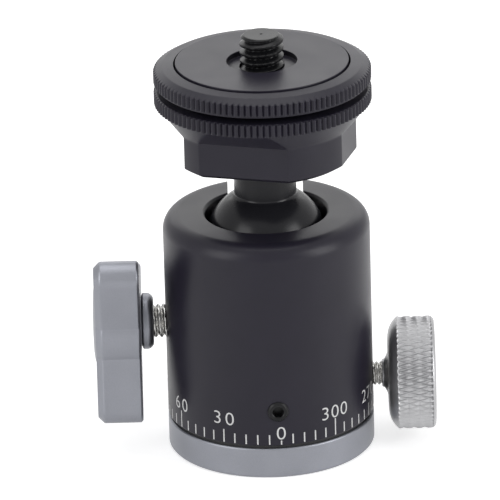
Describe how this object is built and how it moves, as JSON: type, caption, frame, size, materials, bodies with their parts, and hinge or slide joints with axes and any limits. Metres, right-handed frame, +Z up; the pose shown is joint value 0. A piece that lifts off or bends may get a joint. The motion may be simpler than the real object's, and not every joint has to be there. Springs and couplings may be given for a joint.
{
  "type": "tripod ball head",
  "caption": "Small ball head with panning base, three-winged ball lock, knurled pan lock, drop notch and a camera platform with lock ring.",
  "frame": {"origin": "centre of the underside, where the tripod screw goes in", "axes": "+Z up along the body's axis to the camera screw, +X towards the round pan lock knob, +Y towards the drop notch at the back"},
  "size_m": [0.0498, 0.0314, 0.063],
  "materials": {
    "anodised_black": "satin black anodised",
    "ball_black": "polished black anodised",
    "anodised_grey": "bead blasted, grey anodised",
    "bright_aluminium": "knurled, clear anodised",
    "plain_aluminium": "turned",
    "steel": "zinc plated",
    "black_steel": "black oxide",
    "brass": "turned",
    "black_plastic": "matt",
    "white_plastic": "matt, low friction"
  },
  "bodies": {
    "base": {"base_plate": "anodised_grey", "thread_bush": "steel", "pan_spindle": "plain_aluminium", "base_screws": "steel", "retaining_clip": "steel"},
    "housing": {"housing": "anodised_black", "thrust_washer": "black_plastic", "body_plug": "plain_aluminium", "disc_spring": "steel", "friction_screw": "black_steel"},
    "seat": {"ball_seat": "white_plastic"},
    "wedge": {"lock_wedge": "brass"},
    "lock_knob": {"lock_knob": "anodised_grey", "lock_stud": "steel"},
    "pan_pad": {"pan_lock_pad": "brass"},
    "pan_knob": {"pan_lock_knob": "bright_aluminium", "pan_lock_stud": "steel"},
    "ball": {"ball_stem": "ball_black"},
    "head": {"head_block": "anodised_black", "top_disc": "anodised_black", "camera_screw": "black_steel"},
    "lock_ring": {"lock_ring": "anodised_black"}
  },
  "joints": [
    {"name": "pan", "type": "hinge", "parent": "base", "child": "housing", "pos_m": [0, 0, 0], "axis": [0, 0, 1], "continuous": true},
    {"name": "wedge_travel", "type": "slide", "parent": "housing", "child": "wedge", "axis": [1, 0, 0], "range_m": [-0.0004002, 0.0002668]},
    {"name": "lock_turn", "type": "hinge", "parent": "wedge", "child": "lock_knob", "pos_m": [-0.0186, 0, 0.019], "axis": [1, 0, 0], "range_deg": [-180, 120]},
    {"name": "seat_lift", "type": "slide", "parent": "housing", "child": "seat", "axis": [0, 0, 1], "range_m": [-0.00017281, 0.00011521]},
    {"name": "pad_travel", "type": "slide", "parent": "housing", "child": "pan_pad", "axis": [-1, 0, 0], "range_m": [-0.00030015, 0.00022511]},
    {"name": "pan_lock_turn", "type": "hinge", "parent": "pan_pad", "child": "pan_knob", "pos_m": [0.0173, 0, 0.0098], "axis": [-1, 0, 0], "range_deg": [-180, 135]},
    {"name": "tilt", "type": "hinge", "parent": "housing", "child": "ball", "pos_m": [0, 0, 0.0308], "axis": [-1, 0, 0], "range_deg": [-32, 45]},
    {"name": "spin", "type": "hinge", "parent": "ball", "child": "head", "pos_m": [0, 0, 0.0445], "axis": [0, 0, 1], "continuous": true},
    {"name": "ring_turn", "type": "hinge", "parent": "head", "child": "lock_ring", "pos_m": [0, 0, 0.0565], "axis": [0, 0, 1], "continuous": true}
  ],
  "couplings": [
    {"joint": "wedge_travel", "follows": "lock_turn", "m_per_rad": 0.00012732},
    {"joint": "seat_lift", "follows": "lock_turn", "m_per_rad": 0.000054981},
    {"joint": "pad_travel", "follows": "pan_lock_turn", "m_per_rad": 0.000095493}
  ]
}
